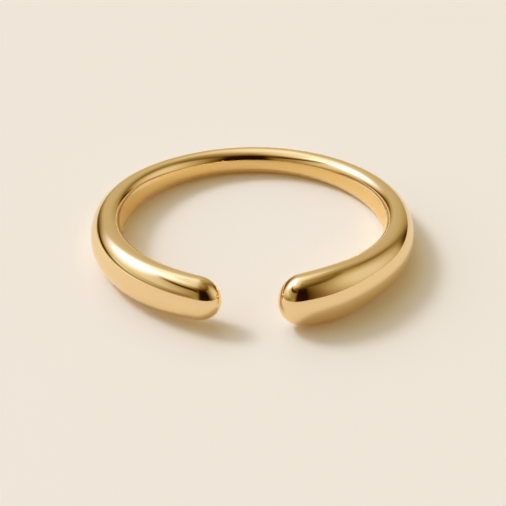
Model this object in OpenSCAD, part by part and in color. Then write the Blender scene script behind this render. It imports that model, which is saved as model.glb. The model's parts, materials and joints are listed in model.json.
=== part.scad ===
// Open cuff ring: one cast band, slim at the back, that swells towards two rounded tips.
// It lies on its side as it rests on a table: +Z is up, and the gap between the tips faces -Y.
// Angles are counted round the finger hole from the middle of the back, in degrees.

/* [Finger hole] */
// Radius of the finger hole
finger_r = 8.65; // [7:0.05:11]
// How deep the round finger hole cuts into the crown of the band's inner side
finger_cut = 0.04; // [0.02:0.01:0.08]

/* [Section] */
// Squareness of the section's inner half, where 2 is an ellipse
inner_squareness = 3; // [2:0.1:4]
// Squareness of the section's outer half, where 2 is an ellipse
outer_squareness = 2; // [1.8:0.1:3]

/* [Tips] */
// Angle from the back to the end of the right arm
right_tip = 170.2; // [150:0.1:172]
// Angle from the back to the end of the left arm
left_tip = 169.1; // [150:0.1:172]
// Angle over which an arm rounds off at its end
tip_round = 9; // [5:0.5:14]

/* [Colour] */
// Colour of the polished gold
gold_colour = "goldenrod"; // [goldenrod, gold, darkgoldenrod]

/* [Smoothness] */
// Flats round a section
section_sides = 30; // [16:2:36]
// Sections along one arm, up to where its tip starts to round off
arm_steps = 46; // [24:1:52]
// Sections in one rounded tip
tip_steps = 7; // [4:1:8]

/* [Hidden] */

// Columns of the two arm tables
ANGLE = 0;
THICKNESS = 1;
HEIGHT = 2;

// Each row is one section: its angle from the back, its thickness away from the finger
// and its height along the finger, in millimetres.
right_arm = [
    [0, 1.64, 1.76],
    [35, 1.62, 1.88],
    [65, 1.68, 2.24],
    [90, 1.84, 2.64],
    [112, 2.06, 2.96],
    [132, 2.16, 3.28],
    [150, 2.30, 3.56],
    [168, 2.10, 2.80]
];
left_arm = [
    [0, 1.64, 1.76],
    [35, 1.62, 1.90],
    [65, 1.68, 2.40],
    [90, 1.90, 2.68],
    [112, 2.10, 2.86],
    [132, 2.10, 2.96],
    [150, 2.00, 2.96],
    [168, 1.92, 2.76]
];

// Half of the back's stretch that the ring stands on, and where each arm's stretch starts
back_foot = 40;
arm_foot = 50;
// Rounds of settling, each of which tilts the ring onto its three lowest places again
settle_rounds = 4;
// Length of the cylinder that cuts the finger hole, more than any section's height
finger_cutter_h = 8;

// Smooth curve through one column of a table. Each row's slope is the one of the
// parabola through the row and its neighbours, and it is level at the back.
function rise(table, row, column) =
    (table[row + 1][column] - table[row][column]) / (table[row + 1][ANGLE] - table[row][ANGLE]);
function slope_at(table, row, column) =
    row == 0 ? 0 :
    row == len(table) - 1 ? rise(table, row - 1, column) :
    let (
        before = table[row][ANGLE] - table[row - 1][ANGLE],
        after = table[row + 1][ANGLE] - table[row][ANGLE]
    )
    (rise(table, row - 1, column) * after + rise(table, row, column) * before) / (before + after);
function row_below(table, angle, row = 0) =
    row >= len(table) - 2 || angle < table[row + 1][ANGLE] ? row : row_below(table, angle, row + 1);
function size_at(table, angle, column) =
    let (
        held = min(angle, table[len(table) - 1][ANGLE]),
        row = row_below(table, held),
        span = table[row + 1][ANGLE] - table[row][ANGLE],
        u = (held - table[row][ANGLE]) / span,
        low = table[row][column],
        high = table[row + 1][column],
        low_slope = slope_at(table, row, column) * span,
        high_slope = slope_at(table, row + 1, column) * span
    )
    low * (1 + 2 * u) * pow(1 - u, 2) + low_slope * u * pow(1 - u, 2)
    + high * pow(u, 2) * (3 - 2 * u) - high_slope * pow(u, 2) * (1 - u);

// One point of a section: [distance from the finger's axis, height]. Turn 0 is the outer
// side, 90 the top and 180 the finger's side. In a rounded tip the section shrinks about
// its own middle by the given scale.
function bent(part, squareness) = sign(part) * pow(abs(part), 2 / squareness);
function section_point(thickness, height, scale, turn) =
    let (
        squareness = cos(turn) < 0 ? inner_squareness : outer_squareness,
        half = (thickness + finger_cut) / 2,
        middle = finger_r - finger_cut + half
    )
    [middle + half * scale * bent(cos(turn), squareness),
     height / 2 * scale * bent(sin(turn), squareness)];

// One ring of points at an angle. side is 1 on the right arm and -1 on the left arm.
function ring_at(table, side, angle, scale) = [
    for (i = [0:section_sides - 1])
        let (
            point = section_point(
                size_at(table, angle, THICKNESS), size_at(table, angle, HEIGHT),
                scale, 360 * i / section_sides)
        )
        [side * point[0] * sin(angle), point[0] * cos(angle), point[1]]
];

// [angle, scale] of each section along an arm, from next to the back to next to the end
function arm_sections(tip) = concat(
    [for (i = [1:arm_steps]) [(tip - tip_round) * i / arm_steps, 1]],
    [for (i = [1:tip_steps])
        let (turn = 90 * i / (tip_steps + 1))
        [tip - tip_round + tip_round * sin(turn), cos(turn)]]
);
function arm_rings(table, side, tip) =
    [for (section = arm_sections(tip)) ring_at(table, side, section[0], section[1])];
function reversed(list) = [for (i = [len(list) - 1:-1:0]) list[i]];
function end_point(table, side, tip) =
    let (middle = section_point(size_at(table, tip, THICKNESS), 0, 0, 0)[0])
    [side * middle * sin(tip), middle * cos(tip), 0];

right_rings = arm_rings(right_arm, 1, right_tip);
left_rings = arm_rings(left_arm, -1, left_tip);
back_ring = ring_at(right_arm, 1, 0, 1);
rings = concat(reversed(left_rings), [back_ring], right_rings);
ring_count = len(rings);
left_end = end_point(left_arm, -1, left_tip);
right_end = end_point(right_arm, 1, right_tip);
band_points = concat([for (ring = rings) each ring], [left_end, right_end]);
left_end_index = ring_count * section_sides;
right_end_index = left_end_index + 1;

// Triangles of the skin: two for each flat between neighbouring rings, then the two ends
function next_side(i) = (i + 1) % section_sides;
function index_of(ring, i) = ring * section_sides + i;
band_faces = concat(
    [for (ring = [0:ring_count - 2], i = [0:section_sides - 1])
        [index_of(ring, i), index_of(ring + 1, i), index_of(ring + 1, next_side(i))]],
    [for (ring = [0:ring_count - 2], i = [0:section_sides - 1])
        [index_of(ring, i), index_of(ring + 1, next_side(i)), index_of(ring, next_side(i))]],
    [for (i = [0:section_sides - 1])
        [index_of(0, i), index_of(0, next_side(i)), left_end_index]],
    [for (i = [0:section_sides - 1])
        [index_of(ring_count - 1, next_side(i)), index_of(ring_count - 1, i), right_end_index]]
);

// The ring rests on three places: its back and the fuller stretch of each arm. lean is the
// turn about X and then about Y that brings all three down to the table.
function angle_of(point) = atan2(abs(point[0]), point[1]);
function leaned(point, lean) =
    let (
        y = point[1] * cos(lean[0]) - point[2] * sin(lean[0]),
        z = point[1] * sin(lean[0]) + point[2] * cos(lean[0])
    )
    [point[0] * cos(lean[1]) + z * sin(lean[1]), y, z * cos(lean[1]) - point[0] * sin(lean[1])];
function lowest(points, lean) =
    let (
        turned = [for (point = points) leaned(point, lean)],
        floor_z = min([for (point = turned) point[2]])
    )
    [for (point = turned) if (point[2] == floor_z) point][0];
function settled(lean, rounds) =
    rounds == 0 ? lean :
    let (
        back = lowest(back_feet, lean),
        up = cross(lowest(right_feet, lean) - back, back - lowest(left_feet, lean))
    )
    settled(lean + [atan2(up[1], up[2]), -atan2(up[0], up[2])], rounds - 1);

back_feet = [for (point = band_points) if (angle_of(point) < back_foot) point];
right_feet = [for (point = band_points) if (angle_of(point) > arm_foot && point[0] > 0) point];
left_feet = [for (point = band_points) if (angle_of(point) > arm_foot && point[0] < 0) point];
lean = settled([0, 0], settle_rounds);

// The origin is under the middle of the resting ring
resting = [for (point = band_points) leaned(point, lean)];
rest_low = [for (axis = [0:2]) min([for (point = resting) point[axis]])];
rest_high = [for (axis = [0:2]) max([for (point = resting) point[axis]])];
rest_shift = -[(rest_low[0] + rest_high[0]) / 2, (rest_low[1] + rest_high[1]) / 2, rest_low[2]];

module finger_hole() {
    cylinder(r = finger_r, h = finger_cutter_h, center = true, $fn = 180);
}

module cuff_band() {
    color(gold_colour)
        translate(rest_shift)
            rotate([lean[0], lean[1], 0])
                difference() {
                    polyhedron(points = band_points, faces = band_faces, convexity = 4);
                    finger_hole();
                }
}

cuff_band();
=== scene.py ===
# Looks of an open cuff ring: mirror-polished yellow gold, lying on a pale table in soft
# studio light. The band is modelled as a straight bar, bent round the finger hole and laid
# down as it rests. The bar's sizes are in millimetres, and angles are in degrees.
import json
import math

import bpy
from mathutils import Matrix, Vector


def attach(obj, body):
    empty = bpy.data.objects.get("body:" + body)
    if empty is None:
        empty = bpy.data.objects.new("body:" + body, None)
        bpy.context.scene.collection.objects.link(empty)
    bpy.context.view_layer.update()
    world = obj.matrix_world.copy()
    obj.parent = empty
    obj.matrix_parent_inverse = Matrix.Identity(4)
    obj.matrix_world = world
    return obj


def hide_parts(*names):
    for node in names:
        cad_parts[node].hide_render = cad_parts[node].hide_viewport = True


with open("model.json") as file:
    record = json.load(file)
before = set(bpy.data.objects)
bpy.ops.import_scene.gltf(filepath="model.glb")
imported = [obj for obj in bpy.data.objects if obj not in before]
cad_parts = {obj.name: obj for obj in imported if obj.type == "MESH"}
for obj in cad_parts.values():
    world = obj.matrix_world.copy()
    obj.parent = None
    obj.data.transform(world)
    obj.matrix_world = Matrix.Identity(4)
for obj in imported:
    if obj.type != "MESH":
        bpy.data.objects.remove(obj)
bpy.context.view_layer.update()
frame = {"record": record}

MM = 0.001

# The finger hole's place and lean, which are those of the ring at rest on its three feet
finger_hole = frame["record"]["mounts"][0]
FINGER_R = finger_hole["dims"]["r_mm"]
HOLE_CENTRE = Vector(finger_hole["pos_m"])
HOLE_AXIS = Vector(finger_hole["axis"])

# Each row is one section of an arm: angle from the back, thickness, height
RIGHT_ARM = [
    (0, 1.64, 1.76),
    (35, 1.62, 1.88),
    (65, 1.68, 2.24),
    (90, 1.84, 2.64),
    (112, 2.06, 2.96),
    (132, 2.16, 3.28),
    (150, 2.30, 3.56),
    (168, 2.14, 3.22),
]
LEFT_ARM = [
    (0, 1.64, 1.76),
    (35, 1.62, 1.90),
    (65, 1.68, 2.40),
    (90, 1.90, 2.68),
    (112, 2.10, 2.86),
    (132, 2.10, 2.96),
    (150, 2.00, 2.96),
    (168, 1.92, 2.76),
]
ANGLE, THICKNESS, HEIGHT = range(3)
# Angles from the back at which the arms end, and over which each end is rounded off
RIGHT_TIP = 170.2
LEFT_TIP = 169.1
TIP_ROUND = 9.0

# How finely the bar is modelled before it is smoothed
CORNER_STEPS = 8
ARM_STEPS = 30
TIP_STEPS = 8
SMOOTH_LEVELS = 2
# Smoothing draws the section in a little, so it starts this much larger
SMOOTHING_LOSS = 1.005
# Shape of the section's corners, where 0.5 is round and 1 is square
OUTER_CORNER = 0.5
FINGER_CORNER = 0.63
# The section starts as a square of half width 1. Its corners are the points past AT_CORNER,
# and their bevels stop just short of each other, so that points within WELD join afterwards.
AT_CORNER = 0.999
BEVEL = 0.9999
WELD = 0.001
# How deep the finger hole cuts into the section, as a share of its half thickness
FINGER_CUT = 0.04
# Points this close to the back belong to its section
AT_BACK = 0.01
# Each step rounds the finger side's edges off again, this far on both sides of the back.
# It moves the points in a thin layer on the finger side, apart from the flat in its middle.
SOFT_EDGE_REACH = range(80, 20, -6)
SOFT_EDGE_DEPTH = 0.8
SOFT_EDGE_SHARE = 0.5
FLAT_HALF_HEIGHT = 0.3

# Camera, matched to the photograph
CAMERA_PLACE = Vector((1.82, -106.66, 69.66)) * MM
CAMERA_AIM = Vector((0.04, -1.07, 0.0)) * MM
CAMERA_ROLL = -0.57
CAMERA_VIEW = 14.92

# Colours, as linear light
GOLD = (0.94, 0.71, 0.38, 1)
# The finger side's warmer tone is painted bounce light: it stands in for light reflected between
# the gold walls
FINGER_SIDE_PAINTED_BOUNCE_GOLD = (1.0, 0.71, 0.29, 1)
TABLE = (0.92, 0.94, 0.875, 1)
# The table's faint warm glow is painted bounce light, which lifts its shadows
TABLE_PAINTED_BOUNCE = (0.08, 0.04, 0.01, 1)

# The gold's finish. Noise scales are in features per metre, and the waves' depth in metres.
WAVE_SCALE = 260.0
WAVE_DETAIL = 2.0
WAVE_STRENGTH = 0.02
WAVE_DEPTH = 0.0001
HAZE_SCALE = 1500.0
HAZE_DETAIL = 4.0
POLISH_ROUGHNESS = 0.03
HAZE_ROUGHNESS = 0.05
SATIN_ROUGHNESS = 0.4
# The satin, and the finger side's painted bounce light, fade in between these depths outside the
# finger hole, in millimetres
SATIN_AND_BOUNCE_START = 0.07
SATIN_AND_BOUNCE_FULL = 0.02

TABLE_SIZE = 2.4
TABLE_ROUGHNESS = 0.65
TABLE_SPECULAR = 0.3

# The studio is a room round the table. In its light, 1 is white. Azimuth 0 is away from the
# camera, and 90 is to the right. Elevation is the angle above the table.
WALL_LIGHT = 0.55
# The right wall is shaded. The shade fades in between two angles aside of its middle, and
# between two elevations.
RIGHT_SHADE = 0.7
RIGHT_SHADE_MIDDLE = 114
RIGHT_SHADE_SIDES = (121, 54)
RIGHT_SHADE_HEIGHTS = (97, 63)
# Each screen is a dark rectangle: strength, azimuth, elevation, half width, half height,
# softness of its sides, softness of its ends
FAR_SCREEN = (0.45, 30, 49, 22, 15, 8, 11)
NEAR_SCREEN = (0.96, 172, 20, 23, 30, 7, 6)
# Each oval is: strength, azimuth, elevation, half width, half height, softness, tilt
CEILING_GLOW = (0.44, -25, 58, 99, 20, 0.65, -7)
RIGHT_GLOW = (0.6, 92, 19, 33, 27, 0.8, 17)
DARK_OVALS = [
    (0.35, 98, 57, 46, 4.5, 0.6, -3),
    (0.8, 46, -2, 9.5, 22, 0.8, 10),
    (0.3, 42, 37, 7, 10, 0.7, 0),
    (0.45, 47, 4, 9, 7, 0.6, 0),
    (0.36, -150, 27, 40, 20, 0.4, -4),
    (0.4, 148, 16, 9, 30, 0.8, 0),
    (0.85, -139, 39.5, 26, 5.2, 0.35, 11),
    (0.72, -111, 46.5, 20, 3.4, 0.5, 14),
    (0.93, -80, 6.3, 45, 3, 0.4, 2.5),
    (0.8, -51, 8.5, 20, 4.5, 0.7, 0),
    (0.75, -31, -1, 13.5, 29, 0.95, 12),
    (0.62, 177, 52, 63, 7, 0.8, -5),
    (0.7, -120, 9, 28, 6, 0.85, 11),
    (0.5, -155, 43, 16, 10, 0.8, 20),
]
SOFTBOX = [
    (0.36, -63, 40, 42, 20, 0.25, -12),
    (0.92, -57, 41, 28, 12, 0.6, -5),
    (0.4, -68, 60, 43, 6, 0.5, -4),
    (0.25, -20, 47, 15, 9, 0.7, 0),
]
LEFT_GLOWS = [
    (0.32, -100, 19, 31, 19, 0.5, 0),
    (0.3, -80, 0, 42, 3.5, 0.3, 1),
]
# The lamp in the softbox, which throws the shadows
LAMP = (1.0, -60, 45, 10.5, 7.5, 0.4, 0)
LAMP_LIGHT = 19.0
# Dim parts of the room are warmer. The softbox and the lamp are a little cooler, but the
# softbox isn't where the lamp is brighter than LAMP_RIM.
RED_POWER = 0.79
BLUE_POWER = 1.58
SOFTBOX_BLUE = 0.5
LAMP_BLUE = 0.04
LAMP_RIM = 0.06


class Wire:
    """One socket in a node tree. Arithmetic on it adds Math nodes."""

    def __init__(self, paint, socket):
        self.paint = paint
        self.socket = socket

    def __add__(self, other):
        return self.paint.math("ADD", self, other)

    def __sub__(self, other):
        return self.paint.math("SUBTRACT", self, other)

    def __rsub__(self, other):
        return self.paint.math("SUBTRACT", other, self)

    def __mul__(self, other):
        return self.paint.math("MULTIPLY", self, other)

    __radd__ = __add__
    __rmul__ = __mul__

    def __pow__(self, other):
        return self.paint.math("POWER", self, other)

    def __abs__(self):
        return self.paint.math("ABSOLUTE", self)

    def at_least(self, other):
        return self.paint.math("MAXIMUM", self, other)

    def at_most(self, other):
        return self.paint.math("MINIMUM", self, other)

    def fade(self, start, end):
        """Goes smoothly from 0 at start to 1 at end."""
        inputs = {"Value": self, "From Min": start, "From Max": end}
        return self.paint.node("ShaderNodeMapRange", {"interpolation_type": "SMOOTHSTEP"}, inputs)

    def vector(self, operation, other, out="Vector"):
        inputs = {0: self, 1: other}
        return self.paint.node("ShaderNodeVectorMath", {"operation": operation}, inputs, out)

    def along(self, direction):
        """How far a vector reaches in a fixed direction."""
        return self.vector("DOT_PRODUCT", direction, "Value")

    def from_axis(self, point, axis):
        """How far a place is from the line through a point."""
        across = self.vector("SUBTRACT", point).vector("CROSS_PRODUCT", axis)
        return across.along(across) ** 0.5


class Paint:
    """A node tree that is written as expressions."""

    def __init__(self, owner):
        owner.use_nodes = True
        self.tree = owner.node_tree
        self.tree.nodes.clear()

    def node(self, kind, settings, inputs, out=0):
        """Adds a node with its settings first, then its sockets' values or links."""
        made = self.tree.nodes.new(kind)
        for name, value in settings.items():
            setattr(made, name, value)
        for name, value in inputs.items():
            if isinstance(value, Wire):
                self.tree.links.new(value.socket, made.inputs[name])
            else:
                made.inputs[name].default_value = value
        if made.outputs:
            return Wire(self, made.outputs[out])

    def math(self, operation, *values):
        """One Math node, fed with the values in order."""
        return self.node("ShaderNodeMath", {"operation": operation}, dict(enumerate(values)))

    def mix(self, share, first, second):
        """Mixes two colours, whose sockets on this node have no names of their own."""
        inputs = {0: share, 6: first, 7: second}
        return self.node("ShaderNodeMix", {"data_type": "RGBA"}, inputs, 2)


def rise(table, row, column):
    """Slope of one column between a row and the next."""
    step = table[row + 1][ANGLE] - table[row][ANGLE]
    return (table[row + 1][column] - table[row][column]) / step


def slope_at(table, row, column):
    """Slope of the parabola through a row and its neighbours, level at the back."""
    if row == 0:
        return 0.0
    if row == len(table) - 1:
        return rise(table, row - 1, column)
    before = table[row][ANGLE] - table[row - 1][ANGLE]
    after = table[row + 1][ANGLE] - table[row][ANGLE]
    mixed = rise(table, row - 1, column) * after + rise(table, row, column) * before
    return mixed / (before + after)


def size_at(table, angle, column):
    """Smooth curve through one column of an arm's table."""
    held = min(angle, table[-1][ANGLE])
    row = max(i for i in range(len(table) - 1) if table[i][ANGLE] <= held)
    span = table[row + 1][ANGLE] - table[row][ANGLE]
    u = (held - table[row][ANGLE]) / span
    low, high = table[row][column], table[row + 1][column]
    low_slope = slope_at(table, row, column) * span
    high_slope = slope_at(table, row + 1, column) * span
    start = low * (1 + 2 * u) * (1 - u) ** 2 + low_slope * u * (1 - u) ** 2
    return start + high * u ** 2 * (3 - 2 * u) - high_slope * u ** 2 * (1 - u)


def pick(piece, wanted):
    """Selects, in edit mode, the vertices for whose place wanted is true."""
    bpy.ops.mesh.select_all(action="DESELECT")
    bpy.ops.object.mode_set(mode="OBJECT")
    for vertex in piece.data.vertices:
        vertex.select = wanted(vertex.co)
    bpy.ops.object.mode_set(mode="EDIT")


def scale_section(thickness, height, middle):
    """Scales the selected section of the bar about a point."""
    bpy.ops.transform.resize(value=(1, thickness, height), center_override=middle)


def draw_out(distance):
    """Extrudes the selected section along the bar."""
    bpy.ops.mesh.extrude_region_move(TRANSFORM_OT_translate={"value": (distance, 0, 0)})


def add_section(thickness, height):
    """The section at the back, as one face across a bar. Its finger side is at y = 0."""
    bpy.ops.object.select_all(action="DESELECT")
    bpy.ops.mesh.primitive_plane_add(size=2, rotation=(0, math.radians(90), 0))
    bpy.ops.object.transform_apply(location=False, rotation=True, scale=False)
    bar = bpy.context.object
    bpy.ops.object.mode_set(mode="EDIT")
    bpy.ops.mesh.select_mode(type="VERT")
    for side, shape in ((1, OUTER_CORNER), (-1, FINGER_CORNER)):
        pick(bar, lambda place: place.y * side > AT_CORNER and abs(place.z) > AT_CORNER)
        bpy.ops.mesh.bevel(affect="VERTICES", offset=BEVEL, segments=CORNER_STEPS, profile=shape)
    bpy.ops.mesh.select_all(action="SELECT")
    bpy.ops.mesh.remove_doubles(threshold=WELD)
    finger_side = FINGER_CUT - 1
    bpy.ops.mesh.bisect(plane_co=(0, finger_side, 0), plane_no=(0, -1, 0), clear_outer=True)
    bpy.ops.mesh.select_all(action="SELECT")
    bpy.ops.transform.translate(value=(0, -finger_side, 0))
    full = thickness / (1 - finger_side) * SMOOTHING_LOSS
    scale_section(full, height / 2 * SMOOTHING_LOSS, (0, 0, 0))
    return bar


def draw_arm(table, tip, side):
    """Draws the selected section out along the bar into one arm, and rounds its tip off."""
    arc = math.radians(FINGER_R) * side
    body_end = tip - TIP_ROUND
    stations = [(body_end * step / ARM_STEPS, 1.0) for step in range(1, ARM_STEPS + 1)]
    for step in range(1, TIP_STEPS + 1):
        turn = math.radians(90 * step / (TIP_STEPS + 1))
        stations.append((body_end + TIP_ROUND * math.sin(turn), math.cos(turn)))
    angle, thickness, height = table[0]
    share = 1.0
    for new_angle, new_share in stations:
        new_thickness = size_at(table, new_angle, THICKNESS)
        new_height = size_at(table, new_angle, HEIGHT)
        draw_out((new_angle - angle) * arc)
        place = new_angle * arc
        scale_section(1 / share, 1 / share, (place, thickness / 2, 0))
        scale_section(new_thickness / thickness, new_height / height, (place, 0, 0))
        scale_section(new_share, new_share, (place, new_thickness / 2, 0))
        angle, thickness, height, share = new_angle, new_thickness, new_height, new_share
    draw_out((tip - angle) * arc)
    bpy.ops.mesh.merge(type="CENTER")


def soften_finger_edges(bar):
    """Rounds the finger side's edges off a little more round the slim back."""
    for reach in SOFT_EDGE_REACH:
        length = math.radians(reach) * FINGER_R

        def at_edge(place):
            in_layer = abs(place.x) < length and place.y < SOFT_EDGE_DEPTH
            return in_layer and abs(place.z) > FLAT_HALF_HEIGHT

        pick(bar, at_edge)
        bpy.ops.mesh.vertices_smooth(factor=SOFT_EDGE_SHARE, xaxis=False)


def apply_modifier(piece, kind, settings):
    """Adds a modifier to the active piece and applies it at once."""
    modifier = piece.modifiers.new(kind.lower(), kind)
    for name, value in settings.items():
        setattr(modifier, name, value)
    bpy.ops.object.modifier_apply(modifier=modifier.name)


def add_cuff_band():
    """The whole ring: a straight bar, bent round the finger hole and laid down."""
    band = add_section(RIGHT_ARM[0][THICKNESS], RIGHT_ARM[0][HEIGHT])
    band.name = "polished_band"
    draw_arm(RIGHT_ARM, RIGHT_TIP, 1)
    pick(band, lambda place: abs(place.x) < AT_BACK)
    draw_arm(LEFT_ARM, LEFT_TIP, -1)
    soften_finger_edges(band)
    bpy.ops.mesh.select_all(action="SELECT")
    bpy.ops.mesh.normals_make_consistent(inside=False)
    bpy.ops.object.mode_set(mode="OBJECT")
    bpy.ops.object.shade_smooth()
    apply_modifier(band, "SUBSURF", {"levels": SMOOTH_LEVELS, "render_levels": SMOOTH_LEVELS})
    turn = -band.dimensions.x / FINGER_R
    bend = {"deform_method": "BEND", "deform_axis": "Z", "angle": turn}
    apply_modifier(band, "SIMPLE_DEFORM", bend)
    to_hole_centre = Matrix.Translation((0, FINGER_R, 0))
    lean = Matrix.Rotation(math.atan2(HOLE_AXIS.x, HOLE_AXIS.z), 4, "Y")
    lean = lean @ Matrix.Rotation(-math.asin(HOLE_AXIS.y), 4, "X")
    place = Matrix.Translation(HOLE_CENTRE) @ Matrix.Scale(MM, 4) @ lean @ to_hole_centre
    band.matrix_world = place
    bpy.ops.object.transform_apply(location=True, rotation=True, scale=True)
    return band


def polished_gold():
    """Mirror-polished gold with faint waves and haze, satin on the finger side, whose warmer tone
    is painted bounce light.
    """
    gold = bpy.data.materials.new("polished_gold")
    paint = Paint(gold)
    place = paint.node("ShaderNodeTexCoord", {}, {}, "Object")

    def noise(scale, detail):
        inputs = {"Vector": place, "Scale": scale, "Detail": detail}
        return paint.node("ShaderNodeTexNoise", {}, inputs)

    waves = noise(WAVE_SCALE, WAVE_DETAIL)
    haze = noise(HAZE_SCALE, HAZE_DETAIL)
    bump = {"Height": waves, "Strength": WAVE_STRENGTH, "Distance": WAVE_DEPTH}
    normal = paint.node("ShaderNodeBump", {}, bump)
    depth = place.from_axis(HOLE_CENTRE, HOLE_AXIS) * (1 / MM)
    finger_side = depth.fade(FINGER_R + SATIN_AND_BOUNCE_START, FINGER_R + SATIN_AND_BOUNCE_FULL)
    # Painted bounce light: the finger side is tinted warmer, as light bounced between the gold
    # walls would make it
    gold_and_painted_bounce = paint.mix(finger_side, GOLD, FINGER_SIDE_PAINTED_BOUNCE_GOLD)
    roughness = haze * HAZE_ROUGHNESS + POLISH_ROUGHNESS + finger_side * SATIN_ROUGHNESS
    inputs = {"Base Color": gold_and_painted_bounce, "Metallic": 1.0, "Roughness": roughness, "Normal": normal}
    shader = paint.node("ShaderNodeBsdfPrincipled", {}, inputs)
    paint.node("ShaderNodeOutputMaterial", {}, {"Surface": shader})
    return gold


def add_table():
    """The pale table top, which reaches well past the edges of the picture."""
    bpy.ops.object.select_all(action="DESELECT")
    bpy.ops.mesh.primitive_plane_add(size=TABLE_SIZE)
    table = bpy.context.object
    table.name = "table_top"
    paper = bpy.data.materials.new("table_top")
    paint = Paint(paper)
    inputs = {"Base Color": TABLE, "Roughness": TABLE_ROUGHNESS}
    inputs["Specular IOR Level"] = TABLE_SPECULAR
    # Painted bounce light: a faint warm glow that lifts the table's shadows
    inputs.update({"Emission Color": TABLE_PAINTED_BOUNCE, "Emission Strength": 1.0})
    shader = paint.node("ShaderNodeBsdfPrincipled", {}, inputs)
    paint.node("ShaderNodeOutputMaterial", {}, {"Surface": shader})
    table.data.materials.append(paper)


def add_studio():
    """The room that lights the ring and shows in it: soft panels round the table."""
    world = bpy.data.worlds.new("studio")
    bpy.context.scene.world = world
    paint = Paint(world)
    look = paint.node("ShaderNodeTexCoord", {}, {}, "Generated")
    height = paint.math("ARCSINE", look.along((0, 0, 1))) * math.degrees(1)

    def turn_from(azimuth):
        """How far to the right of an azimuth a direction is."""
        way = math.radians(azimuth)
        ahead = look.along((math.sin(way), math.cos(way), 0))
        aside = look.along((math.cos(way), -math.sin(way), 0))
        return paint.math("ARCTAN2", aside, ahead) * math.degrees(1)

    def screen(strength, azimuth, elevation, half_width, half_height, soft_sides, soft_ends):
        """Its strength inside a soft-edged rectangle, 0 outside."""
        across = abs(turn_from(azimuth)).fade(half_width + soft_sides, half_width - soft_sides)
        lift = abs(height - elevation)
        return across * lift.fade(half_height + soft_ends, half_height - soft_ends) * strength

    def oval(strength, azimuth, elevation, half_width, half_height, soft, tilt):
        """Its strength inside a soft-edged oval, 0 outside. Tilt raises its right end."""
        level, steep = math.cos(math.radians(tilt)), math.sin(math.radians(tilt))
        aside, above = turn_from(azimuth), height - elevation
        across = (aside * level + above * steep) * (1 / half_width)
        lift = (above * level - aside * steep) * (1 / half_height)
        reach = (across * across + lift * lift) ** 0.5
        return reach.fade(1 + soft, 1 - soft) * strength

    right_side = abs(turn_from(RIGHT_SHADE_MIDDLE)).fade(*RIGHT_SHADE_SIDES)
    right_shade = right_side * height.fade(*RIGHT_SHADE_HEIGHTS) * RIGHT_SHADE
    wall = (WALL_LIGHT + oval(*CEILING_GLOW)) * (1 - right_shade)
    wall = wall * (1 - screen(*FAR_SCREEN)) + oval(*RIGHT_GLOW)
    wall = wall * (1 - screen(*NEAR_SCREEN))
    for dark in DARK_OVALS:
        wall = wall * (1 - oval(*dark))
    softbox = sum(oval(*row) for row in SOFTBOX)
    glows = sum(oval(*row) for row in LEFT_GLOWS)
    lamp = oval(*LAMP)
    light = wall + glows + softbox + lamp * LAMP_LIGHT
    shade = light.at_most(1)
    red = shade ** RED_POWER
    cooler = softbox * lamp.fade(LAMP_RIM, 0) * SOFTBOX_BLUE + lamp * LAMP_BLUE
    blue = shade ** BLUE_POWER * (1 + cooler)
    colour = paint.node("ShaderNodeCombineColor", {}, {0: red, 1: shade, 2: blue})
    background = {"Color": colour, "Strength": light.at_least(1)}
    shader = paint.node("ShaderNodeBackground", {}, background)
    paint.node("ShaderNodeOutputWorld", {}, {"Surface": shader})


def add_camera():
    """The camera that looks down at the ring as in the photograph."""
    view = bpy.data.cameras.new("camera")
    view.sensor_width = view.sensor_height = 36
    view.sensor_fit = "HORIZONTAL"
    view.angle = math.radians(CAMERA_VIEW)
    view.clip_start = 0.005
    view.clip_end = 10
    camera = bpy.data.objects.new("camera", view)
    bpy.context.scene.collection.objects.link(camera)
    gaze = (CAMERA_AIM - CAMERA_PLACE).to_track_quat("-Z", "Y").to_matrix().to_4x4()
    roll = Matrix.Rotation(math.radians(CAMERA_ROLL), 4, "Z")
    camera.matrix_world = Matrix.Translation(CAMERA_PLACE) @ gaze @ roll
    bpy.context.scene.camera = camera


add_camera()
add_table()
add_studio()
bpy.context.scene.view_settings.view_transform = "Standard"

polished_band = add_cuff_band()
polished_band.data.materials.append(polished_gold())
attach(polished_band, "root")
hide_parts("cuff_band")
